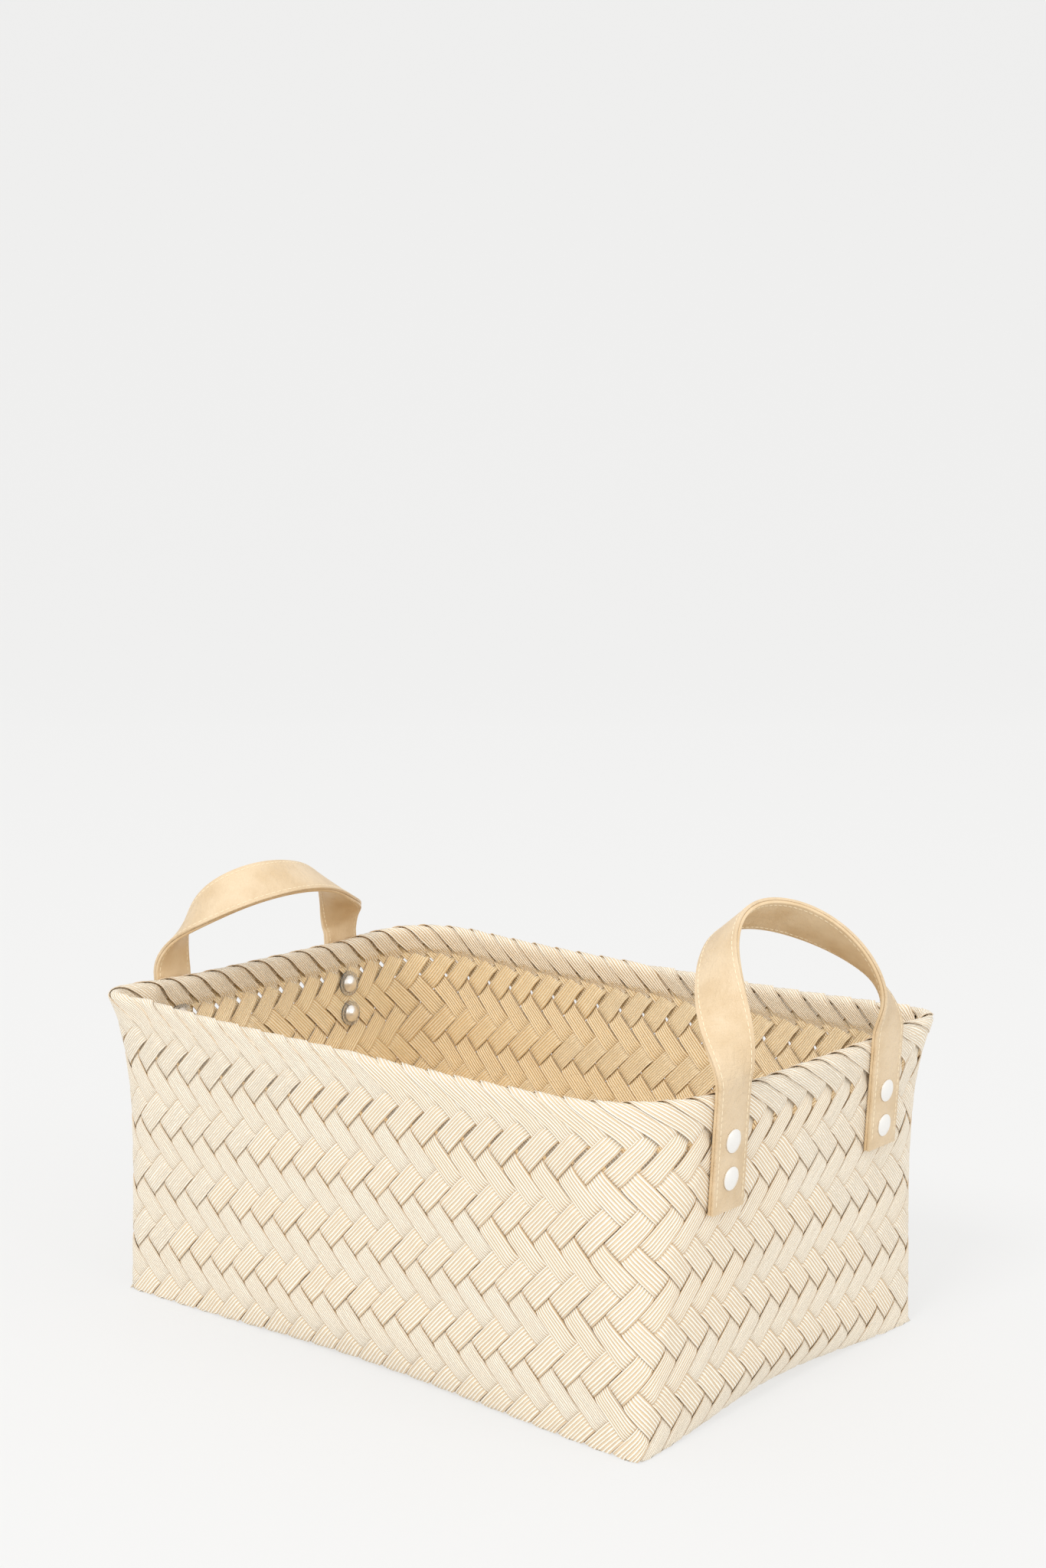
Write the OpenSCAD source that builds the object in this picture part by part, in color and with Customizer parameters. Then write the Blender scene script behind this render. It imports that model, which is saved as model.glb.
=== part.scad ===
// Plaited storage basket with two strap handles.
// Millimetres. +X runs along the long side, +Z up, origin at the middle of the underside.
// "right" is the +X end and "left" the -X end; "near" is the -Y leg and "far" the +Y leg.

/* [Basket] */
// Length of the base along X
base_l = 357; // [300:1:420]
// Width of the base along Y
base_w = 238; // [200:1:290]
// Height of the rim at the middle of a side
wall_h = 168; // [140:1:200]
// How much higher the rim stands at its corners
corner_rise = 3; // [0:0.5:10]
// Corner radius at the base
base_r = 4; // [2:0.5:10]
// Corner radius at the rim
rim_r = 52; // [30:1:60]
// How far the rim flares outward at its -X -Y and +X +Y corners
corner_flare = 16; // [0:0.5:18]
// How far the base edge arches up at the middle of a long side
arch_long = 7; // [0:0.5:10]
// How far the base edge arches up at the middle of a short side
arch_short = 4.5; // [0:0.5:10]
// Thickness of the plaited wall
wall_t = 3; // [2.5:0.1:4]
// Thickness of the rolled rim
rim_t = 7; // [5:0.5:9]

/* [Handles] */
// Width of a strap
strap_w = 25; // [20:1:30]
// Thickness of one strap layer; a strap has two
layer_t = 1.7; // [1.2:0.1:2]
// Distance from the middle of the +X end to its near leg
right_near = 65.5; // [60:0.5:75]
// Distance from the middle of the +X end to its far leg
right_far = 69; // [60:0.5:75]
// Distance from the middle of the -X end to its near leg
left_near = 72.5; // [60:0.5:75]
// Distance from the middle of the -X end to its far leg
left_far = 62; // [60:0.5:75]
// How far a strap end hangs below the rim
tab_drop = 58; // [52:1:70]
// Height of the flex line above the rim
flex_rise = 4; // [3.5:0.5:8]

/* [Rivets] */
// Depth of the upper rivet of a near leg below the rim
rivet_near = 23.5; // [22:0.5:30]
// Depth of the upper rivet of a far leg below the rim
rivet_far = 28; // [22:0.5:30]
// Spacing of the two rivets of a leg
rivet_pitch = 18.5; // [17:0.5:20]
// Diameter of the outer cap
cap_d = 11.4; // [9:0.1:13]
// Height of the outer cap's dome
cap_h = 1.8; // [1.2:0.1:2.5]
// Diameter of the post
post_d = 4; // [3:0.1:5]
// Diameter of the clear washer inside
washer_d = 15; // [13:0.5:18]
// Thickness of the clear washer
washer_t = 1; // [0.8:0.1:1.5]
// Diameter of the socket cap inside
socket_d = 10.4; // [8:0.1:12]
// Height of the socket cap's dome
socket_h = 3.4; // [2.8:0.1:4]

/* [Hidden] */
ENDS = ["right", "left"];
LEGS = ["near", "far"];
ROWS = ["upper", "lower"];
LAYERS = ["face", "lining"];
RIVET_PARTS = ["cap", "washer", "socket"];
function loop_name(end, layer) = str(end, "_loop_", layer);
function tab_name(end, leg, layer) = str(end, "_", leg, "_tab_", layer);
function rivet_name(end, leg, row, part) = str(end, "_", leg, "_", row, "_rivet_", part);

cream = [0.93, 0.85, 0.71];
tan = [0.94, 0.82, 0.65];
steel = [0.86, 0.86, 0.86];
clear = [0.9, 0.92, 0.93, 0.5];

gap = 0.1;                    // clearance between pieces that lie on each other
seam = gap / 2;               // each strap layer's share of the clearance between them
tilt = keep_out(1);           // how far a wall moves out for each mm of corner radius
around = 2 * (base_l + base_w);
ring_n = 72;                  // points round the basket
row_n = 6;                    // rows up the wall
cell_n = 4;                   // cells across a strap
loop_n = 44;                  // rings along a loop
strap_t = 2 * layer_t;
flare_reach = 0.75;           // share of the corner's bend that flares

// ---- Basket surface ----

// Rounding a corner by r moves both its sides out by this much at the same length of wall.
function keep_out(r) = (1 - PI / 4) * r;
function corner_r(t) = base_r + (rim_r - base_r) * t;
// Slope of a wall, outward per mm of height
slope = tilt * (rim_r - base_r) / wall_h;
function wall_x(z) = base_l / 2 + tilt * corner_r(z / wall_h);

// The point at distance x along a side of length n, with half sizes a (away) and b (along),
// for the side that faces -Y. It returns the point and its outward normal.
function side_point(x, n, a, b, r) =
    let (arc = PI * r / 4,
         turn = x < arc ? x / r : x > n - arc ? (x - n) / r : 0,
         deg = x < arc ? 225 + turn * 180 / PI
             : x > n - arc ? 315 + turn * 180 / PI
             : 270,
         px = x < arc ? -b + r + r * cos(deg)
            : x > n - arc ? b - r + r * cos(deg)
            : -b + r + (x - arc),
         py = x < arc || x > n - arc ? -a + r + r * sin(deg) : -a)
    [[px, py], [cos(deg), sin(deg)]];

function turn_side(v, k) = k == 0 ? v : turn_side([-v.y, v.x], k - 1);

// The wall at distance s round the basket and height t from 0 to 1, set in by d.
function wall_point(s, t, d = 0, dz = 0) =
    let (half = base_l + base_w,
         u = s % half,
         k = (s >= half ? 2 : 0) + (u >= base_l ? 1 : 0),
         long = k % 2 == 0,
         x = long ? u : u - base_l,
         n = long ? base_l : base_w,
         r = corner_r(t),
         a = base_l / 2 + keep_out(r),
         b = base_w / 2 + keep_out(r),
         pn = side_point(x, n, long ? b : a, long ? a : b, r),
         middle = pow(sin(180 * x / n), 2),
         corner = pow(1 - middle, 3),
         from_corner = min(x, n - x) / (PI * r / 4),
         wide = long == (x < n / 2) ? corner_flare : 1,
         bend = from_corner < flare_reach ? pow(cos(90 * from_corner / flare_reach), 2) : 0,
         out = wide * bend * pow(t, 5) - d,
         xy = turn_side(pn[0] + out * pn[1], k),
         arch = long ? arch_long : arch_short)
    [xy.x, xy.y, t * wall_h + (1 - t) * arch * middle + corner_rise * corner * t + dz];

function wall_ring(t, d, dz) = [for (i = [0:ring_n - 1]) wall_point(around * i / ring_n, t, d, dz)];

// The triangles between consecutive rings of n points
function side_faces(rings, n) = concat(
    [for (j = [0:rings - 2], i = [0:n - 1])
        let (i2 = (i + 1) % n) [j * n + i, (j + 1) * n + i, (j + 1) * n + i2]],
    [for (j = [0:rings - 2], i = [0:n - 1])
        let (i2 = (i + 1) % n) [j * n + i, (j + 1) * n + i2, j * n + i2]]
);

// Flat end faces, for rings that are flat
function flat_ends(rings, n) = [
    [for (i = [0:n - 1]) i],
    [for (i = [n - 1:-1:0]) (rings - 1) * n + i]
];

// End faces in triangles, for rings made of a row of points out and a row back
function row_ends(rings, n) =
    let (last = (rings - 1) * n)
    concat(
        [for (i = [0:n / 2 - 2]) [i, i + 1, n - 1 - i]],
        [for (i = [0:n / 2 - 2]) [i + 1, n - 2 - i, n - 1 - i]],
        [for (i = [0:n / 2 - 2]) [last + i + 1, last + i, last + n - 1 - i]],
        [for (i = [0:n / 2 - 2]) [last + n - 2 - i, last + i + 1, last + n - 1 - i]]
    );

// inside_out is for rings that run the other way round.
module skin(rings, flat = false, inside_out = false) {
    n = len(rings[0]);
    ends = flat ? flat_ends(len(rings), n) : row_ends(len(rings), n);
    faces = concat(side_faces(len(rings), n), ends);
    polyhedron(
        points = [for (ring = rings, p = ring) p],
        faces = inside_out ? [for (f = faces) [f[2], f[1], f[0]]] : faces,
        convexity = 6
    );
}

// The base inside its bottom edge, where the arched edge comes down to the flat middle.
foot_in = 46;                 // width of that border
foot_t = 0.6;                 // the flat middle stands this much lower
function border_ring(f, d, z) =
    [for (i = [0:ring_n - 1])
        let (p = wall_point(around * i / ring_n, 0, d),
             k = 1 - f * 2 * foot_in / base_w,
             drop = pow(1 - f, 2))
        [p.x * k, p.y * k, z + (p.z - foot_t) * drop]];

// ---- Basket ----

tuck_drop = 12;               // how far the rolled rim reaches down inside

module woven_body() {
    roll_r = rim_t / 2;
    top = 1 - roll_r / wall_h;
    outside = concat(
        [border_ring(1, 0, foot_t), border_ring(0.5, 0, foot_t), border_ring(0, 0, foot_t)],
        [for (j = [1:row_n]) wall_ring(top * j / row_n, 0, 0)]
    );
    rolled = [for (q = [30:30:150]) wall_ring(top, roll_r * (1 - cos(q)), roll_r * sin(q))];
    inside = concat(
        [wall_ring(top, rim_t, 0), wall_ring(top - tuck_drop / wall_h, wall_t, 0)],
        [for (j = [row_n - 1:-1:1]) wall_ring(top * j / row_n, wall_t, 0)],
        [border_ring(0, wall_t, foot_t + wall_t), border_ring(0.5, wall_t, foot_t + wall_t),
         border_ring(1, wall_t, foot_t + wall_t)]
    );
    color(cream)
        difference() {
            union() {
                skin(concat(outside, rolled, inside), flat = true);
                foot_l = base_l - 2 * foot_in - 20;
                foot_w = base_w - 2 * foot_in - 20;
                translate([-foot_l / 2, -foot_w / 2, 0])
                    cube([foot_l, foot_w, foot_t + 1]);
            }
            for (e = ENDS, g = LEGS, r = ROWS)
                at_rivet(e, g, r)
                    cylinder(h = 40, d = post_d + 0.2, center = true, $fn = 32);
        }
}

// ---- Handles ----

function leg_y(end, leg) =
    end == "right" ? (leg == "near" ? -right_near : right_far)
                   : (leg == "near" ? -left_near : left_far);
// Distance round the basket of a point at y on an end wall
function end_s(end, y) =
    end == "right" ? base_l + base_w / 2 + y : 2 * base_l + base_w * 3 / 2 - y;
function rivet_z(leg, row) =
    wall_h - (leg == "near" ? rivet_near : rivet_far) - (row == "upper" ? 0 : rivet_pitch);

// Puts a piece at a rivet, with its z axis pointing out of the wall
module at_rivet(end, leg, row) {
    translate(wall_point(end_s(end, leg_y(end, leg)), rivet_z(leg, row) / wall_h))
        rotate([0, 90 + atan(slope), end == "right" ? 0 : 180])
            children();
}

flex_z = wall_h + flex_rise;
tab_low = wall_h - tab_drop;
tab_rows = 6;
flex_clear = 1;               // clearance between a tab and the rounded end of its loop
tab_top = flex_z - layer_t - flex_clear;

// A point of a tab at distance s round the basket and height z, standing off the wall by d
function tab_point(s, z, d) =
    let (p = wall_point(s, z / wall_h, -d)) [p.x, p.y, z];

module tab_layer(end, leg, layer) {
    mid = end_s(end, leg_y(end, leg));
    middle = gap + layer_t;
    sign = layer == "face" ? 1 : -1;
    across = [for (i = [0:cell_n]) mid + strap_w * (i / cell_n - 0.5)];
    rings = [for (j = [0:tab_rows])
        let (z = tab_low + (tab_top - tab_low) * j / tab_rows)
        concat(
            [for (i = [0:cell_n]) tab_point(across[i], z, middle + sign * seam)],
            [for (i = [cell_n:-1:0]) tab_point(across[i], z, middle + sign * layer_t)]
        )];
    color(tan)
        difference() {
            skin(rings, inside_out = sign > 0);
            for (r = ROWS)
                at_rivet(end, leg, r)
                    cylinder(h = 40, d = post_d + 0.2, center = true, $fn = 32);
        }
}

flex_x = wall_x(flex_z) + gap + layer_t;

// Each loop's middle line from its near leg to its far leg: x, y, z and twist in degrees
right_loop = [
    [flex_x, -right_near, flex_z, 0],
    [flex_x, -right_near, flex_z + 7, -6],
    [182, -59, 198, -50],
    [166, -46, 220, -90],
    [155, -25, 236, -100],
    [154, 1, 240, -105],
    [165, 28, 233, -105],
    [180, 50, 217, -80],
    [190, 66, 195, -45],
    [flex_x, right_far, flex_z + 7, -6],
    [flex_x, right_far, flex_z, 0]
];
left_loop = [
    [-flex_x, -left_near, flex_z, 0],
    [-flex_x, -left_near, flex_z + 7, 6],
    [-186, -71, 196, 40],
    [-168, -63, 213, 85],
    [-152, -45, 223, 95],
    [-147, -19, 224, 85],
    [-153, 9, 218, 80],
    [-167, 34, 206, 75],
    [-182, 54, 193, 50],
    [-flex_x, left_far, flex_z + 7, 6],
    [-flex_x, left_far, flex_z, 0]
];

// Uniform cubic B-spline through the two end points
function spline_point(c, u) =
    let (n = len(c),
         i = min(floor(u), n - 2),
         f = u - i,
         p0 = i == 0 ? 2 * c[0] - c[1] : c[i - 1],
         p1 = c[i],
         p2 = c[i + 1],
         p3 = i == n - 2 ? 2 * c[n - 1] - c[n - 2] : c[i + 2])
    (pow(1 - f, 3) * p0 + (3 * pow(f, 3) - 6 * f * f + 4) * p1
     + (-3 * pow(f, 3) + 3 * f * f + 3 * f + 1) * p2 + pow(f, 3) * p3) / 6;

function place(p) = [p[0], p[1], p[2]];
function unit(v) = v / norm(v);
function tangent(c, u) =
    let (n = len(c) - 1)
    unit(place(spline_point(c, min(u + 0.002, 1) * n) - spline_point(c, max(u - 0.002, 0) * n)));
// The part of v square to t
function square_to(v, t) = unit(v - (v * t) * t);

// The strap's width direction before twisting, carried along the middle line without turning
function sides(c, start) =
    [for (i = 0, s = square_to(start, tangent(c, 0)); i <= loop_n;
          i = i + 1, s = square_to(s, tangent(c, min(i, loop_n) / loop_n))) s];

// Extra twist at the far leg that brings the strap flush with the wall again
function closing(c, side, start) =
    let (s = side[loop_n])
    atan2(-start * cross(tangent(c, 1), s), -start * s);

// One ring of a loop layer, between offsets lo and hi from the strap's middle line
function loop_ring(c, side, close, j, lo, hi, shift) =
    let (n = len(c) - 1,
         q = spline_point(c, j / loop_n * n),
         t = tangent(c, j / loop_n),
         twist = q[3] + close * j / loop_n,
         wide = cos(twist) * side[j] + sin(twist) * cross(t, side[j]),
         out = cross(wide, t),
         base = place(q) + shift * t)
    concat(
        [for (i = [0:cell_n]) base + strap_w * (i / cell_n - 0.5) * wide + lo * out],
        [for (i = [cell_n:-1:0]) base + strap_w * (i / cell_n - 0.5) * wide + hi * out]
    );

module loop_layer(end, layer) {
    c = end == "right" ? right_loop : left_loop;
    start = [0, end == "right" ? 1 : -1, 0];
    side = sides(c, start);
    close = closing(c, side, start);
    sign = layer == "face" ? 1 : -1;
    // The ends are rounded about the flex line, so that they turn clear of the strap ends.
    round_steps = [72, 38];
    function layer_ring(j, h, shift) =
        loop_ring(c, side, close, j, sign * seam, sign * h, shift);
    color(tan)
        skin(inside_out = sign > 0, rings = concat(
            [for (q = round_steps) layer_ring(0, layer_t * cos(q), -layer_t * sin(q))],
            [for (j = [0:loop_n]) layer_ring(j, layer_t, 0)],
            [for (i = [1:-1:0])
                let (q = round_steps[i]) layer_ring(loop_n, layer_t * cos(q), layer_t * sin(q))]
        ));
}

// ---- Rivets ----

// A shallow dome of diameter d and height h on z = 0, with a short straight edge
module dome(d, h, edge) {
    rise = h - edge;
    ball = (d * d / 4 + rise * rise) / (2 * rise);
    intersection() {
        translate([0, 0, h - ball])
            sphere(r = ball, $fn = 96);
        cylinder(h = h + 1, d = d, $fn = 64);
    }
}

module rivet_cap(end, leg, row) {
    post_l = strap_t + wall_t + washer_t + 5 * gap + 1.6;
    color(steel)
        at_rivet(end, leg, row)
            translate([0, 0, strap_t + 2 * gap]) {
                dome(cap_d, cap_h, 0.5);
                translate([0, 0, -post_l])
                    cylinder(h = post_l + 0.5, d = post_d, $fn = 32);
            }
}

module rivet_washer(end, leg, row) {
    color(clear)
        at_rivet(end, leg, row)
            translate([0, 0, -wall_t - gap - washer_t])
                difference() {
                    cylinder(h = washer_t, d = washer_d, $fn = 64);
                    translate([0, 0, -1])
                        cylinder(h = washer_t + 2, d = post_d + 0.2, $fn = 32);
                }
}

module rivet_socket(end, leg, row) {
    color(steel)
        at_rivet(end, leg, row)
            translate([0, 0, -wall_t - 2 * gap - washer_t])
                rotate([180, 0, 0])
                    difference() {
                        dome(socket_d, socket_h, 0.6);
                        translate([0, 0, -1])
                            cylinder(h = 3, d = post_d + 0.2, $fn = 32);
                    }
}

module rivet_part(end, leg, row, part) {
    if (part == "cap")
        rivet_cap(end, leg, row);
    if (part == "washer")
        rivet_washer(end, leg, row);
    if (part == "socket")
        rivet_socket(end, leg, row);
}

woven_body();
for (e = ENDS, y = LAYERS)
    loop_layer(e, y);
for (e = ENDS, g = LEGS, y = LAYERS)
    tab_layer(e, g, y);
for (e = ENDS, g = LEGS, r = ROWS, p = RIVET_PARTS)
    rivet_part(e, g, r, p);
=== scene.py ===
"""Plaited storage basket: 70 flat strips, two stitched strap handles and eight rivets."""
import math

import bpy
import numpy as np
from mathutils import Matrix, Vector


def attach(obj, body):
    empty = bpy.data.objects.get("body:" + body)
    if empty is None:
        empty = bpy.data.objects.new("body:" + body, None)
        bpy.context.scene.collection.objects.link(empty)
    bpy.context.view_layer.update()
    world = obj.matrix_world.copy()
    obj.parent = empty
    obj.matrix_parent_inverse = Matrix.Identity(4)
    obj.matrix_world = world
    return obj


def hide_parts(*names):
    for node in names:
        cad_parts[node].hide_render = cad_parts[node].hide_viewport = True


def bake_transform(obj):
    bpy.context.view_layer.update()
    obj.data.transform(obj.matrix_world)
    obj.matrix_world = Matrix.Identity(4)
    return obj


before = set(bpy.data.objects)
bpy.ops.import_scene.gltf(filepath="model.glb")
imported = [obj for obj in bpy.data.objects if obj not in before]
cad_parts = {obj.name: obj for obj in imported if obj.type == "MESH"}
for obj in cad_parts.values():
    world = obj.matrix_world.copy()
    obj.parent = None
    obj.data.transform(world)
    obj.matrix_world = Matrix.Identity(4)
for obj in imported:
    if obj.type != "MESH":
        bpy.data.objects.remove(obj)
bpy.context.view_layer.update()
rng = np.random.default_rng(7)

# ---- Sizes in millimetres, as in the CAD model ----
BASE_L, BASE_W, WALL_H = 357.0, 238.0, 168.0
BASE_R, RIM_R, RIM_T, WALL_T = 4.0, 52.0, 7.0, 3.0
CORNER_RISE, CORNER_FLARE, SQUARE_FLARE, FLARE_REACH = 3.0, 16.0, 1.0, 0.75
ARCH_LONG, ARCH_SHORT, FOOT_IN = 1.5, 4.0, 46.0
EDGE_IN, EDGE_H = 6.0, 22.0     # how far the bottom edges are rounded in, and how high
STRAP_W, LAYER_T, GAP = 25.0, 1.7, 0.1
FLEX_Z = WALL_H + 4.0
TAB_LOW = WALL_H - 58.0
LEGS = {"right": (65.5, 69.0), "left": (72.5, 62.0)}    # near and far leg, from the middle
PITCH = 17.0
STRIP_W, STRIP_T = 11.7, 0.5
TILT = 1 - math.pi / 4          # what a corner radius adds to a side, per millimetre
A0 = BASE_L / 2 + TILT * BASE_R
B0 = BASE_W / 2 + TILT * BASE_R


def smooth(x):
    c = np.clip(x, 0, 1)
    return c * c * (3 - 2 * c)


def step_up(x, start, reach):
    """0 below start, 1 above start + reach, smooth between."""
    return smooth((x - start) / reach)


def add_object(name, data):
    ob = bpy.data.objects.new(name, data)
    bpy.context.scene.collection.objects.link(ob)
    return ob


# ---- Basket surface ----
def side_of(s):
    """The side of the basket at distance s round it, and the distance along that side."""
    s = np.mod(s, 2 * (BASE_L + BASE_W))
    u = np.mod(s, BASE_L + BASE_W)
    k = np.where(s >= BASE_L + BASE_W, 2, 0) + np.where(u >= BASE_L, 1, 0)
    return k, np.where(k % 2 == 0, u, u - BASE_L)


def turn(px, py, k):
    """The point turned by a quarter turn for each side before side k."""
    for kk in (1, 2, 3):
        m = k >= kk
        px, py = np.where(m, -py, px), np.where(m, px, py)
    return px, py


def wall(s, t, d):
    """A point of the wall at distance s round the basket and height share t, set in by d."""
    k, x = side_of(s)
    long_side = k % 2 == 0
    n = np.where(long_side, BASE_L, BASE_W)
    r = BASE_R + (RIM_R - BASE_R) * t
    half_a, half_b = BASE_L / 2 + TILT * r, BASE_W / 2 + TILT * r
    a = np.where(long_side, half_b, half_a)
    b = np.where(long_side, half_a, half_b)
    arc = math.pi * r / 4
    first, last = x < arc, x > n - arc
    ang = np.where(first, math.radians(225) + x / r,
                   np.where(last, math.radians(315) + (x - n) / r, math.radians(270)))
    c, si = np.cos(ang), np.sin(ang)
    px = np.where(first, -b + r + r * c, np.where(last, b - r + r * c, -b + r + (x - arc)))
    py = np.where(first | last, -a + r + r * si, -a)
    middle = np.sin(math.pi * x / n) ** 2
    corner = (1 - middle) ** 3
    from_corner = np.minimum(x, n - x) / arc
    flare = np.where(long_side == (x < n / 2), CORNER_FLARE, SQUARE_FLARE)
    bend = np.where(from_corner < FLARE_REACH,
                    np.cos(math.pi / 2 * from_corner / FLARE_REACH) ** 2, 0)
    under = EDGE_IN * middle * np.maximum(0, 1 - t * WALL_H / EDGE_H) ** 2
    out = flare * bend * t ** 5 - under - d
    px, py = turn(px + out * c, py + out * si, k)
    arch = np.where(long_side, ARCH_LONG, ARCH_SHORT)
    z = t * WALL_H + (1 - t) * arch * middle + CORNER_RISE * corner * t
    return np.stack([px, py, z], -1)


ROLL_R = RIM_T / 2
ROLL_H = WALL_H - ROLL_R
# Inside the rim the sheet draws nearer the wall, and then its end slips under the plait.
DRAW_H, DRAW_SHARE = 14.0, 0.5
SLIP_H, SLIP_REACH, SLIP_DEPTH = 11.0, 5.0, 1.9


def skin(s, h, d):
    """A point of the sheet: up the wall, over the rolled rim and down inside it."""
    h, d, s = np.broadcast_arrays(h, d, s)
    up = np.maximum(np.minimum(h, ROLL_H), d)
    p = wall(s, up / WALL_H, d)
    roll_t = np.full_like(h, ROLL_H / WALL_H)
    edge = wall(s, roll_t, 0 * d)
    inward = wall(s, roll_t, 1 + 0 * d) - edge
    over = np.clip((h - ROLL_H) / ROLL_R, 0, math.pi)[..., None]
    r = (ROLL_R - d)[..., None]
    curl = edge + inward * (ROLL_R - r * np.cos(over))
    curl[..., 2] += (r * np.sin(over))[..., 0]
    down = np.maximum(h - ROLL_H - math.pi * ROLL_R, 0)
    depth = WALL_T + (RIM_T - WALL_T - d) * (1 - DRAW_SHARE * smooth(down / DRAW_H))
    depth = depth + (SLIP_DEPTH - depth) * step_up(down, SLIP_H, SLIP_REACH)
    tuck = wall(s, (ROLL_H - down) / WALL_H, depth)
    p = np.where((h > ROLL_H)[..., None], curl, p)
    return np.where((h > ROLL_H + math.pi * ROLL_R)[..., None], tuck, p)


def base(x, y, d):
    """A point of the bottom, whose edges arch up and are rounded in to meet the walls."""
    fx, fy = BASE_L / 2 - np.abs(x), BASE_W / 2 - np.abs(y)
    rise = (np.clip(1 - fx / FOOT_IN, 0, 1) ** 2 * ARCH_SHORT
            * np.sin(math.pi * (y / BASE_W + 0.5)) ** 2
            + np.clip(1 - fy / FOOT_IN, 0, 1) ** 2 * ARCH_LONG
            * np.sin(math.pi * (x / BASE_L + 0.5)) ** 2)
    sx, sy = np.abs(x) / (BASE_L / 2), np.abs(y) / (BASE_W / 2)
    in_x = EDGE_IN * np.cos(math.pi / 2 * np.minimum(sy, 1)) ** 2 * sx ** 3
    in_y = EDGE_IN * np.cos(math.pi / 2 * np.minimum(sx, 1)) ** 2 * sy ** 3
    mx = np.sign(x) * (np.minimum(sx * A0, A0 - d) - in_x)
    my = np.sign(y) * (np.minimum(sy * B0, B0 - d) - in_y)
    return np.stack([mx, my, rise + d + 0 * mx], -1)


# Each side's start corner, direction along it and direction inward
SIDES = [((-1, -1), (1, 0), (0, 1)), ((1, -1), (0, 1), (-1, 0)),
         ((1, 1), (-1, 0), (0, -1)), ((-1, 1), (0, -1), (1, 0))]
SIDE_START = [0, BASE_L, BASE_L + BASE_W, 2 * BASE_L + BASE_W]


def sheet_point(k, s, h, d):
    """The sheet on side k at wall distance s and height h; below 0 it is the bottom."""
    s, h, d = np.broadcast_arrays(s, h, d)
    (cx, cy), (tx, ty), (nx, ny) = SIDES[k]
    n = BASE_L if k % 2 == 0 else BASE_W
    a = np.clip(s - SIDE_START[k], 0, n)
    x = cx * BASE_L / 2 + tx * a - nx * h
    y = cy * BASE_W / 2 + ty * a - ny * h
    low = (h < 0)[..., None]
    return np.where(low, base(x, y, d), skin(s, np.maximum(h, 0), d))


# ---- Strips ----
STEP = PITCH / math.sqrt(2)     # strip length between two crossings
RISE = PITCH / 2                # height between two crossing rows
FINE = 6                        # rings between two crossings
COLS = 5                        # points across a strip
ROWS = 20                       # crossing rows up the wall
LIFT = 1.0                      # how far a strip goes either side of the middle surface
CHANGE_FROM, CHANGE_LONG = 0.2, 0.6     # the part of a crossing space where it changes sides
TAIL_OUTER, TAIL_INNER = 2.65, 1.8      # rows that a strip goes on beyond the rim
WANDER, WOBBLE = 0.12, 0.06     # how uneven a strip is, sideways and in depth
CROWN = 0.22                    # how far a strip's edges lie below its middle
NARROW = 0.10                   # share of its width that a strip loses near the rim
LAP = 1.3                       # tilt of a strip on the rim across its whole width
UNDER_RIM = (105, 40)           # the next values are heights: where a change starts, its reach
STEEPEN, STEEPEN_BY = (132, 20), 3.5
LEAN_OVER, LEAN_BY = (152, 22), 9.0
LAP_STARTS, LAP_ENDS = (154, 10), (186, 6)
WAIST_H, WAIST_REACH = 150, 9.0
END_NARROWS, END_NARROW = (176, 10), 1.6
SHARP_STRIP = math.radians(40)


def wall_state(row, lean):
    """1 if a strip is outside at a crossing row, or -1. Its lean is -1 if it rises leftward."""
    left_on_top = row >= ROWS - 2 or (row // 2) % 2 == 1
    return 1 if left_on_top == (lean < 0) else -1


def strip_path(family, i):
    """Where a strip starts on the bottom's edge, its crossings there and its two wall ends."""
    c = i * PITCH
    hl, hw = BASE_L / 2, BASE_W / 2
    rising = family == "p"
    dy = 1 if rising else -1
    if rising:
        x0, x1 = max(-hl, -hw + c), min(hl, hw + c)
        y0 = x0 - c
    else:
        x0, x1 = max(-hl, c - hw), min(hl, c + hw)
        y0 = c - x0
    first_side = 3 if x0 <= -hl + 1e-6 else (0 if rising else 2)
    last_side = 1 if x1 >= hl - 1e-6 else (2 if rising else 0)
    normal = np.array([-dy, 1.0]) / math.sqrt(2)

    def wall_end(k, x, y, sign):
        """Side, distance round it, lean, and how the width lies along and across that side."""
        (cx, cy), tan, inw = SIDES[k]
        s = SIDE_START[k] + (x - cx * hl) * tan[0] + (y - cy * hw) * tan[1]
        lean = 1 if sign * (tan[0] + dy * tan[1]) > 0 else -1
        return k, s, lean, normal @ np.array(tan, float), normal @ np.array(inw, float)

    ends = [wall_end(first_side, x0, y0, -1),
            wall_end(last_side, x1, y0 + dy * (x1 - x0), 1)]
    return x0, y0, dy, int(round((x1 - x0) / RISE)), normal, ends


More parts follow.
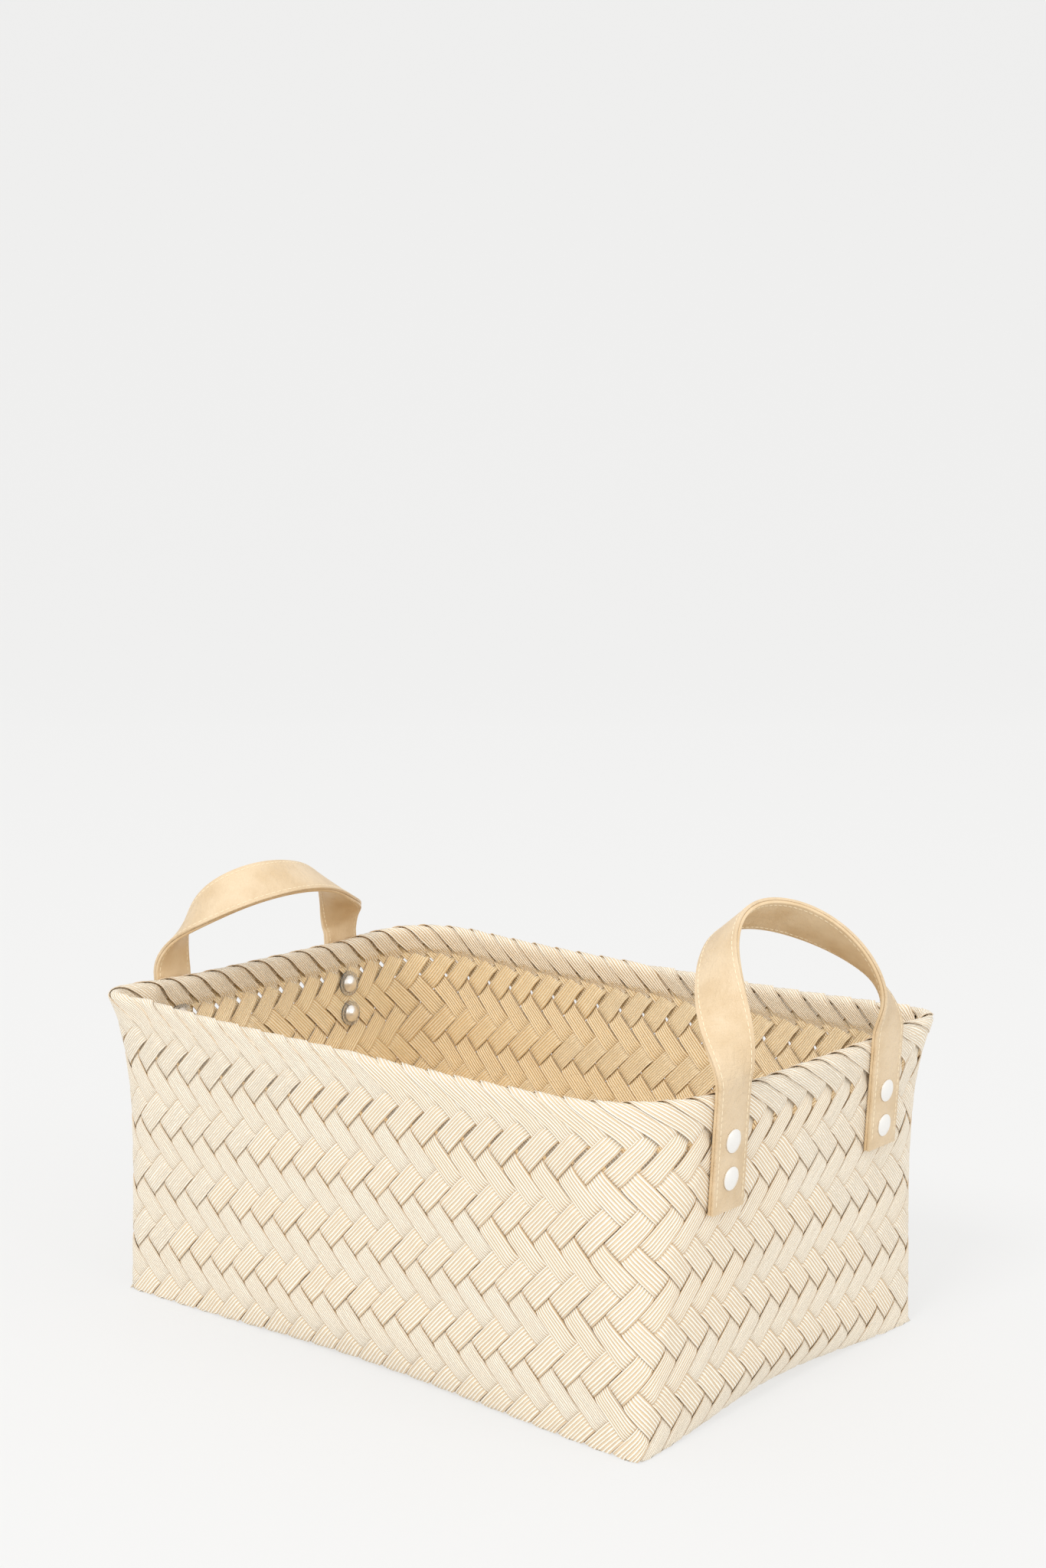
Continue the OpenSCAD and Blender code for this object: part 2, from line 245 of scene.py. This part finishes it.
def strip_rings(family, i):
    """Distances along a strip, and the rows of points across its outer and its inner face."""
    x0, y0, dy, crossings, normal, ends = strip_path(family, i)
    hl, hw = BASE_L / 2, BASE_W / 2

    def tail(end):
        return TAIL_OUTER if end[2] < 0 else TAIL_INNER

    def state(m):
        """1 if the strip is on the outer side at its crossing m, or -1: over two, under two."""
        if m <= 0:
            return wall_state(-m, ends[0][2])
        if m >= crossings:
            return wall_state(m - crossings, ends[1][2])
        x2 = int(round(2 * (x0 + m * RISE) / PITCH))
        q = (x2 - 2 * i) % 4 if family == "p" else (2 * i - x2) % 4
        return 1 if (q in (3, 0)) == (family == "p") else -1

    lo = -(ROWS + tail(ends[0]))
    hi = crossings + ROWS + tail(ends[1])
    m = np.linspace(lo, hi, int(round((hi - lo) * FINE)) + 1)
    cell = np.floor(m).astype(int)
    f = smooth((m - cell - CHANGE_FROM) / CHANGE_LONG)
    st = np.array([state(int(q)) for q in range(cell.min(), cell.max() + 2)], float)
    st = st[cell - cell.min()] * (1 - f) + st[cell + 1 - cell.min()] * f
    knots = np.arange(lo - 2, hi + 3, 2.0)
    uneven = np.interp(m, knots, rng.normal(0, 1, len(knots)))
    depth = WALL_T / 2 - LIFT * st + WOBBLE * uneven

    high = np.where(m < 0, -m, np.maximum(m - crossings, 0)) * RISE
    outer = np.where(m < 0, ends[0][2], ends[1][2]) < 0
    # At the rim the outer strips narrow and curve, which leaves small gaps beside them.
    waist = np.exp(-((high - WAIST_H) / WAIST_REACH) ** 2)
    narrow = np.where(outer, waist + END_NARROW * step_up(high, *END_NARROWS),
                      step_up(high, *UNDER_RIM))
    width = STRIP_W * (1 - NARROW * narrow)
    # Toward the rim the outer strips first steepen, then lean over along it.
    sweep = np.where(outer, LEAN_BY * step_up(high, *LEAN_OVER)
                     - STEEPEN_BY * step_up(high, *STEEPEN), 0)
    # Strips on the rolled rim lap each other like scales.
    scale = np.where(outer, step_up(high, *LAP_STARTS) * (1 - step_up(high, *LAP_ENDS)), 0)
    lap = LAP * scale * np.where(m < 0, -ends[0][3], ends[1][3]) * math.sqrt(2)

    cols = np.linspace(-0.5, 0.5, COLS)
    v = cols[None, :] * width[:, None] + (WANDER * uneven)[:, None]
    bx = (x0 + m * RISE)[:, None] + v * normal[0]
    by = (y0 + dy * m * RISE)[:, None] + v * normal[1]
    faces = []
    for face in (-STRIP_T / 2, STRIP_T / 2):
        d = (depth[:, None] + face + CROWN * (2 * cols[None, :]) ** 2
             + lap[:, None] * cols[None, :])
        points = base(bx, by, d)
        for k, ((cx, cy), tan, inw) in enumerate(SIDES):
            over = -((bx - cx * hl) * inw[0] + (by - cy * hw) * inw[1])
            s = SIDE_START[k] + (bx - cx * hl) * tan[0] + (by - cy * hw) * tan[1]
            points = np.where((over > 0)[..., None], sheet_point(k, s, over, d), points)
        for (k, s_end, lean, along_side, across_side), part, h in (
                (ends[0], m < 0, -m * RISE),
                (ends[1], m > crossings, (m - crossings) * RISE)):
            s = (s_end + lean * (h + sweep))[:, None] + v * along_side
            hh = h[:, None] - v * across_side
            points = np.where(part[:, None, None], sheet_point(k, s, hh, d), points)
        faces.append(points)
    return m * STEP, faces[0], faces[1]


def make_strip(name, family, i, materials, grain_start):
    """One strip as a closed flat tube, with its length and width as texture coordinates."""
    u, outer, inner = strip_rings(family, i)
    n, c = outer.shape[0], outer.shape[1]
    ring = np.concatenate([outer, inner[:, ::-1]], axis=1)
    w = 2 * c
    faces, mats, uvs = [], [], []
    across = np.concatenate([np.linspace(0, 1, c), np.linspace(1, 0, c)])
    along = u / 100 + grain_start
    for j in range(n - 1):
        for a in range(w):
            b = (a + 1) % w
            faces.append((j * w + a, j * w + b, (j + 1) * w + b, (j + 1) * w + a))
            mats.append(1 if c <= a < w - 1 else 0)
            uvs += [(along[j], across[a]), (along[j], across[b]),
                    (along[j + 1], across[b]), (along[j + 1], across[a])]
    for j, order in ((0, range(w - 1, -1, -1)), (n - 1, range(w))):
        faces.append(tuple(j * w + a for a in order))
        mats.append(0)
        uvs += [(along[j], across[a]) for a in order]
    me = bpy.data.meshes.new(name)
    me.from_pydata((ring.reshape(-1, 3) / 1000).tolist(), [], faces)
    for mat in materials:
        me.materials.append(mat)
    me.polygons.foreach_set("material_index", mats)
    layer = me.uv_layers.new(name="Strip")
    layer.data.foreach_set("uv", np.array(uvs, float).ravel())
    bold = me.attributes.new("bold", "FLOAT", "POINT")
    bold.data.foreach_set("value", np.full(n * w, float(family == "m"), np.float32))
    me.polygons.foreach_set("use_smooth", [True] * len(me.polygons))
    me.set_sharp_from_angle(angle=SHARP_STRIP)
    me.update()
    return add_object(name, me)


# ---- Materials ----
def srgb(text):
    """A colour in the scene's linear values, from its usual hexadecimal form."""
    def lin(v):
        return v / 12.92 if v <= 0.04045 else ((v + 0.055) / 1.055) ** 2.4
    return tuple(lin(int(text[i:i + 2], 16) / 255) for i in (0, 2, 4)) + (1.0,)


class Nodes:
    """Short names for building a material's nodes."""

    def __init__(self, name):
        self.mat = bpy.data.materials.new(name)
        self.mat.use_nodes = True
        self.t = self.mat.node_tree
        self.p = self.t.nodes["Principled BSDF"]

    def add(self, kind, **values):
        n = self.t.nodes.new(kind)
        for key, v in values.items():
            setattr(n, key, v)
        return n

    def put(self, socket, v):
        if isinstance(v, bpy.types.NodeSocket):
            self.t.links.new(v, socket)
        else:
            socket.default_value = v

    def math(self, op, a, b=0.0, c=None):
        n = self.add("ShaderNodeMath", operation=op)
        self.put(n.inputs[0], a)
        self.put(n.inputs[1], b)
        if c is not None:
            self.put(n.inputs[2], c)
        return n.outputs[0]

    def mix(self, f, a, b):
        n = self.add("ShaderNodeMix", data_type="RGBA")
        self.put(n.inputs[0], f)
        self.put(n.inputs[6], a)
        self.put(n.inputs[7], b)
        return n.outputs[2]

    def scaled(self, a, k):
        return self.math("MULTIPLY", a, k)

    def swing(self, a, k):
        """k times a's difference from a half."""
        return self.scaled(self.math("SUBTRACT", a, 0.5), k)

    def noise(self, vector, scale, detail=2.0):
        n = self.add("ShaderNodeTexNoise")
        self.put(n.inputs["Vector"], vector)
        n.inputs["Scale"].default_value = scale
        n.inputs["Detail"].default_value = detail
        return n.outputs["Fac"]

    def vector(self, x, y, z=0.0):
        n = self.add("ShaderNodeCombineXYZ")
        for i, v in enumerate((x, y, z)):
            self.put(n.inputs[i], v)
        return n.outputs[0]

    def grain(self, u, v, along, across, detail=2.0):
        """Noise with its own scale along a strip and across it."""
        return self.noise(self.vector(self.scaled(u, along), self.scaled(v, across)), 1.0, detail)

    def ramp(self, f, lo, hi):
        n = self.add("ShaderNodeMapRange", interpolation_type="SMOOTHSTEP")
        self.put(n.inputs[0], f)
        n.inputs[1].default_value, n.inputs[2].default_value = lo, hi
        return n.outputs[0]

    def bump(self, height, distance, strength=1.0, below=None):
        n = self.add("ShaderNodeBump")
        n.inputs["Strength"].default_value = strength
        n.inputs["Distance"].default_value = distance
        self.put(n.inputs["Height"], height)
        if below is not None:
            self.put(n.inputs["Normal"], below)
        return n.outputs[0]


RIBS_FINE, RIBS_BOLD = 9.0, 7.0         # ribs across a strip
WAVY_FINE, WAVY_BOLD = 0.065, 0.02      # how far the ribs wave, as a share of the width
RIB_DRIFT = 0.10
CONTRAST_FINE, CONTRAST_BOLD = 0.75, 1.0


def strip_material(name, light, dark, line, edge_shade, rough):
    """Ribbed plastic strip. One diagonal has bold straight ribs, the other fine wavy ones."""
    m = Nodes(name)
    uv = m.add("ShaderNodeUVMap", uv_map="Strip").outputs[0]
    sep = m.add("ShaderNodeSeparateXYZ")
    m.put(sep.inputs[0], uv)
    u, v = sep.outputs[0], sep.outputs[1]
    bold = m.add("ShaderNodeAttribute", attribute_name="bold").outputs["Fac"]

    def by_family(fine, bold_value):
        return m.math("MULTIPLY_ADD", bold, bold_value - fine, fine)

    # Ribs, bent a little along the strip
    wave = m.swing(m.grain(u, v, 28.0, 5.0), by_family(WAVY_FINE, WAVY_BOLD))
    drift = m.swing(m.grain(u, v, 3.0, 2.5), RIB_DRIFT)
    bent = m.math("ADD", m.math("ADD", v, wave), drift)
    turns = m.math("MULTIPLY", bent, by_family(RIBS_FINE, RIBS_BOLD))
    rib = m.math("MULTIPLY_ADD", m.math("SINE", m.scaled(turns, 2 * math.pi)), 0.5, 0.5)
    # Cream ribs and beige grooves, streaked, with light and dark stretches
    streak = m.grain(u, v, 1.5, 9.0, 3.0)
    patch = m.swing(m.grain(u, v, 0.9, 0.0, 1.0), 0.25)
    tone = m.ramp(m.math("ADD", rib, m.swing(streak, 0.7)), 0.45, 0.72)
    shade = m.math("MULTIPLY", by_family(CONTRAST_FINE, CONTRAST_BOLD),
                   m.math("SUBTRACT", 1.0, tone))
    even = m.math("ADD", m.math("SUBTRACT", 0.97, shade), patch)
    colour = m.mix(even, srgb(dark), srgb(light))
    # Thin darker lines in the grooves, and a thin painted shadow along both edges of the strip,
    # where it meets its neighbours
    thin = m.ramp(m.math("ADD", streak, m.scaled(rib, -0.35)), 0.42, 0.66)
    colour = m.mix(m.scaled(thin, 0.35), colour, srgb(line))
    edge = m.math("ABSOLUTE", m.math("SUBTRACT", v, 0.5))
    colour = m.mix(m.scaled(m.ramp(edge, 0.46, 0.495), 0.45), colour, srgb(edge_shade))
    m.put(m.p.inputs["Base Color"], colour)
    m.p.inputs["Roughness"].default_value = rough
    m.p.inputs["Specular IOR Level"].default_value = 0.35
    fine = m.bump(m.grain(u, v, 160.0, 40.0), 0.0001, 0.5)
    m.put(m.p.inputs["Normal"], m.bump(rib, 0.0004, 1.0, fine))
    return m.mat


def leather(name, colour, deep, grain):
    """Leatherette: soft patches of two colours, fine pebbles and creases."""
    m = Nodes(name)
    at = m.add("ShaderNodeTexCoord").outputs["Object"]
    pebbles = m.add("ShaderNodeTexVoronoi", feature="SMOOTH_F1")
    m.put(pebbles.inputs["Vector"], at)
    pebbles.inputs["Scale"].default_value = 1500.0
    patches = m.ramp(m.noise(at, 60.0, 3.0), 0.3, 0.75)
    m.put(m.p.inputs["Base Color"], m.mix(patches, srgb(colour), srgb(deep)))
    m.p.inputs["Roughness"].default_value = 0.42
    m.p.inputs["Specular IOR Level"].default_value = 0.4
    creases = m.bump(m.noise(at, 300.0, 4.0), 0.0016, grain)
    m.put(m.p.inputs["Normal"], m.bump(pebbles.outputs["Distance"], 0.0003, grain, creases))
    return m.mat


def plain(name, colour, rough, metal=0.0, **more):
    """One even colour; more sets other inputs of the shader by name."""
    m = Nodes(name)
    m.p.inputs["Base Color"].default_value = srgb(colour)
    m.p.inputs["Roughness"].default_value = rough
    m.p.inputs["Metallic"].default_value = metal
    for key, v in more.items():
        m.p.inputs[key.replace("_", " ")].default_value = v
    return m.mat


# The fifth colour of each strip material is painted shade along the strip's two edges.
OUTSIDE = strip_material("strip outside", "FFFAEC", "E6CFAE", "CFAE84", "B8946A", 0.42)
INSIDE = strip_material("strip inside", "FFF0D2", "F0D4A4", "C79A60", "A87C48", 0.5)
FACE = leather("strap face", "DDC7A7", "D1B894", 0.5)
LINING = leather("strap lining", "DEC6A2", "D1B48B", 0.3)
THREAD = plain("thread", "F2E2C4", 0.7)
STEEL = plain("rivet steel", "F8F6F2", 0.3, 0.85)
CLEAR = plain("clear washer", "FFFFFF", 0.12, Transmission_Weight=0.9, IOR=1.45)

# ---- Basket strips ----
HALF_COUNT = 17                 # strips each side of the middle one, in each diagonal
GRAIN_STEP = 7.3                # moves the grain on, so that no two strips look the same
strips = []
for family in ("p", "m"):
    for i in range(-HALF_COUNT, HALF_COUNT + 1):
        name = f"strip_{family}_{i + HALF_COUNT + 1:02d}"
        ob = make_strip(name, family, i, (OUTSIDE, INSIDE), GRAIN_STEP * len(strips))
        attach(ob, "basket")
        strips.append(ob)
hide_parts("woven_body")

# ---- Straps ----
FLEX_X = BASE_L / 2 + TILT * (BASE_R + (RIM_R - BASE_R) * FLEX_Z / WALL_H) + GAP + LAYER_T
# Middle line of each loop from its near leg to its far leg: x, y, z and twist in degrees
LOOPS = {
    "right": [(FLEX_X, -65.5, FLEX_Z, 0), (FLEX_X, -65.5, FLEX_Z + 7, -6), (182, -59, 198, -50),
              (166, -46, 220, -90), (155, -25, 236, -100), (154, 1, 240, -105),
              (165, 28, 233, -105), (180, 50, 217, -80), (190, 66, 195, -45),
              (FLEX_X, 69, FLEX_Z + 7, -6), (FLEX_X, 69, FLEX_Z, 0)],
    "left": [(-FLEX_X, -72.5, FLEX_Z, 0), (-FLEX_X, -72.5, FLEX_Z + 7, 6), (-186, -71, 196, 40),
             (-168, -63, 213, 85), (-152, -45, 223, 95), (-147, -19, 224, 85),
             (-153, 9, 218, 80), (-167, 34, 206, 75), (-182, 54, 193, 50),
             (-FLEX_X, 62, FLEX_Z + 7, 6), (-FLEX_X, 62, FLEX_Z, 0)],
}


def spline(c, u):
    """Uniform cubic B-spline that ends at its first and last control point."""
    c = np.asarray(c, float)
    n = len(c)
    i = np.minimum(np.floor(u).astype(int), n - 2)
    f = (u - i)[:, None]
    e = np.vstack([2 * c[0] - c[1], c, 2 * c[-1] - c[-2]])
    return ((1 - f) ** 3 * e[i] + (3 * f ** 3 - 6 * f * f + 4) * e[i + 1]
            + (-3 * f ** 3 + 3 * f * f + 3 * f + 1) * e[i + 2] + f ** 3 * e[i + 3]) / 6


def unit(v):
    return v / np.linalg.norm(v, axis=-1, keepdims=True)


def end_s(end, y):
    """The distance round the basket of a leg at y on the right or left end."""
    return BASE_L + BASE_W / 2 + y if end == "right" else 2 * BASE_L + BASE_W * 1.5 - y


LOOP_RINGS, TAB_RINGS = 133, 28
TAB_TOP = FLEX_Z - 1.5          # where the straight tab gives way to the curved loop


def strap_frames(end):
    """Middle line, width direction and outward direction along a whole strap."""
    c = LOOPS[end]
    n = LOOP_RINGS
    q = spline(c, np.linspace(0, 1, n) * (len(c) - 1))
    p, twist = q[:, :3], q[:, 3]
    t = unit(np.gradient(p, axis=0))
    outward = 1.0 if end == "right" else -1.0
    # Carry the width direction along the line without twist, then add the twist.
    start = np.array([0, outward, 0])
    side = np.zeros_like(p)
    s = start
    for i in range(n):
        s = unit(s - t[i] * (t[i] @ s))
        side[i] = s
    last = np.cross(t[-1], side[-1])
    close = math.degrees(math.atan2(-start @ last, -start @ side[-1]))
    a = np.radians(twist + close * np.linspace(0, 1, n))[:, None]
    wide = np.cos(a) * side + np.sin(a) * np.cross(t, side)
    out = np.cross(wide, t)
    lean = unit(np.array([outward, 0, -TILT * (RIM_R - BASE_R) / WALL_H]))
    rows = np.linspace(TAB_LOW, TAB_TOP, TAB_RINGS)

    def tab(y, sign):
        line = wall(np.full(TAB_RINGS, end_s(end, y)), rows / WALL_H,
                    -(GAP + LAYER_T) + 0 * rows)
        return line, np.tile(start * sign, (TAB_RINGS, 1)), np.tile(lean, (TAB_RINGS, 1))

    near, far = tab(-LEGS[end][0], 1), tab(LEGS[end][1], -1)
    return [np.vstack([near[k], loop, far[k][::-1]]) for k, loop in enumerate((p, wide, out))]


EDGE_R, SEAM, LINING_IN = 0.45, 0.03, 0.1
SHARP_STRAP = math.radians(50)


def outline(lo, hi, half):
    """A strap layer's section: a flat bar with rounded edges, as (across, out) pairs."""
    r = EDGE_R
    pts = []
    for cx, cy, a0 in ((half - r, lo + r, -90), (half - r, hi - r, 0),
                       (-half + r, hi - r, 90), (-half + r, lo + r, 180)):
        for step in (0, 30, 60, 90):
            g = math.radians(a0 + step)
            pts.append((cx + r * math.cos(g), cy + r * math.sin(g)))
    return pts


def swept(name, p, wide, out, section, mat):
    """A closed tube along a line, with one ring of the section at each of its points."""
    a = np.array([q[0] for q in section])[None, :, None]
    o = np.array([q[1] for q in section])[None, :, None]
    rings = p[:, None, :] + a * wide[:, None, :] + o * out[:, None, :]
    n, w = rings.shape[0], rings.shape[1]
    faces = [(j * w + a, j * w + (a + 1) % w, (j + 1) * w + (a + 1) % w, (j + 1) * w + a)
             for j in range(n - 1) for a in range(w)]
    faces += [tuple(range(w - 1, -1, -1)), tuple((n - 1) * w + a for a in range(w))]
    me = bpy.data.meshes.new(name)
    me.from_pydata((rings.reshape(-1, 3) / 1000).tolist(), [], faces)
    me.materials.append(mat)
    me.polygons.foreach_set("use_smooth", [True] * len(me.polygons))
    me.set_sharp_from_angle(angle=SHARP_STRAP)
    return add_object(name, me)


STITCH, SPACE, INSET = 2.5, 3.2, 2.2    # stitch length, step, and distance from the edge
STITCH_MARGIN = 4
STITCH_SHAPE = [(0, 0.05), (0.12, 0.2), (0.5, 0.26), (0.88, 0.2), (1, 0.05)]  # place, radius
THREAD_SIDES, THREAD_FLAT = 6, 0.8


def stitches(name, p, wide, out, mat):
    """Thread along both edges of both faces of a strap, as one piece."""
    length = np.concatenate([[0], np.cumsum(np.linalg.norm(np.diff(p, axis=0), axis=1))])

    def at(q, field):
        return np.stack([np.interp(q, length, field[:, k]) for k in range(3)], -1)

    verts, faces = [], []
    n = THREAD_SIDES
    for face in (1, -1):
        for edge in (1, -1):
            for j in range(int((length[-1] - 2 * STITCH_MARGIN) / SPACE)):
                q = STITCH_MARGIN + j * SPACE + np.array([f for f, _ in STITCH_SHAPE]) * STITCH
                pp, ww, oo = at(q, p), unit(at(q, wide)), unit(at(q, out))
                k = len(verts)
                for i, (_, r) in enumerate(STITCH_SHAPE):
                    centre = pp[i] + edge * (STRAP_W / 2 - INSET) * ww[i] + face * LAYER_T * oo[i]
                    for g in range(n):
                        ang = 2 * math.pi * g / n
                        verts.append(centre + r * math.cos(ang) * ww[i]
                                     + r * THREAD_FLAT * math.sin(ang) * oo[i])
                for i in range(len(STITCH_SHAPE) - 1):
                    low = k + i * n
                    faces += [(low + g, low + (g + 1) % n, low + n + (g + 1) % n, low + n + g)
                              for g in range(n)]
                last = k + (len(STITCH_SHAPE) - 1) * n
                faces += [tuple(k + g for g in range(n - 1, -1, -1)),
                          tuple(last + g for g in range(n))]
    me = bpy.data.meshes.new(name)
    me.from_pydata((np.array(verts) / 1000).tolist(), [], faces)
    me.materials.append(mat)
    me.polygons.foreach_set("use_smooth", [True] * len(me.polygons))
    return add_object(name, me)


for end in ("right", "left"):
    p, wide, out = strap_frames(end)
    face = swept(f"{end}_strap_face", p, wide, out, outline(SEAM, LAYER_T, STRAP_W / 2), FACE)
    lining = swept(f"{end}_strap_lining", p, wide, out,
                   outline(-LAYER_T, -SEAM, STRAP_W / 2 - LINING_IN), LINING)
    thread = stitches(f"{end}_strap_stitching", p, wide, out, THREAD)
    for ob, slot in ((face, "strap_face"), (lining, "strap_lining"), (thread, "strap_face")):
        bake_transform(ob)
    for ob, layer in ((face, "face"), (lining, "lining")):
        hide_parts(f"{end}_loop_{layer}", f"{end}_near_tab_{layer}", f"{end}_far_tab_{layer}")

# ---- Rivets: the CAD pieces with their real finishes ----
for name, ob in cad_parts.items():
    if "_rivet_" not in name:
        continue
    clear = name.endswith("_washer")
    ob.data.materials.clear()
    ob.data.materials.append(CLEAR if clear else STEEL)

# ---- Room, light and camera, in metres ----
VIEW_AZ = math.radians(40.407)
VIEW_DOWN = 8.347
FLOOR_FRONT, FLOOR_BACK, COVE_R, PAPER_TOP, PAPER_HALF = 3.2, 2.6, 1.2, 6.0, 6.0
COVE_STEP = 7.5
profile = [(-FLOOR_FRONT, 0.0), (FLOOR_BACK, 0.0)]
profile += [(FLOOR_BACK + COVE_R * math.sin(a), COVE_R - COVE_R * math.cos(a))
            for a in np.radians(np.arange(COVE_STEP, 91, COVE_STEP))]
profile += [(FLOOR_BACK + COVE_R, PAPER_TOP)]
toward = np.array([math.sin(VIEW_AZ), -math.cos(VIEW_AZ)])
right = np.array([math.cos(VIEW_AZ), math.sin(VIEW_AZ)])
paper_points = []
for along, up in profile:
    for aside in (-PAPER_HALF, PAPER_HALF):
        spot = -toward * along + right * aside
        paper_points.append((spot[0], spot[1], up))
paper = bpy.data.meshes.new("backdrop")
paper.from_pydata(paper_points, [], [(2 * i, 2 * i + 1, 2 * i + 3, 2 * i + 2)
                                     for i in range(len(profile) - 1)])
paper.materials.append(plain("paper", "7B7B7B", 0.9, Emission_Color=(1.0, 1.0, 0.995, 1.0),
                             Emission_Strength=0.64))
paper.polygons.foreach_set("use_smooth", [True] * len(paper.polygons))
backdrop = add_object("backdrop", paper)

world = bpy.data.worlds.new("studio")
bpy.context.scene.world = world
world.use_nodes = True
world.node_tree.nodes["Background"].inputs[0].default_value = (1.0, 0.99, 0.975, 1)
world.node_tree.nodes["Background"].inputs[1].default_value = 0.97


AIM = (0, 0, 0.08)
LAMP_COLOUR = (1.0, 0.99, 0.97)


def lamp(name, place, size, power):
    """A square area light that faces the basket."""
    data = bpy.data.lights.new(name, "AREA")
    data.shape, data.size, data.energy, data.color = "SQUARE", size, power, LAMP_COLOUR
    ob = add_object(name, data)
    ob.location = place
    ob.rotation_euler = (Vector(AIM) - Vector(place)).to_track_quat("-Z", "Y").to_euler()


lamp("key", (0.5, -2.1, 2.3), 0.9, 36)
lamp("fill", (2.4, 0.0, 1.3), 1.6, 12)
bpy.context.scene.view_settings.view_transform = "Standard"

camera_data = bpy.data.cameras.new("camera")
camera_data.lens = 55.08
camera_data.sensor_width = 36.0
camera = add_object("camera", camera_data)
camera.location = (0.81955, -0.9543, 0.4724)
camera.rotation_euler = (math.radians(90 - VIEW_DOWN), 0, VIEW_AZ)
bpy.context.scene.camera = camera
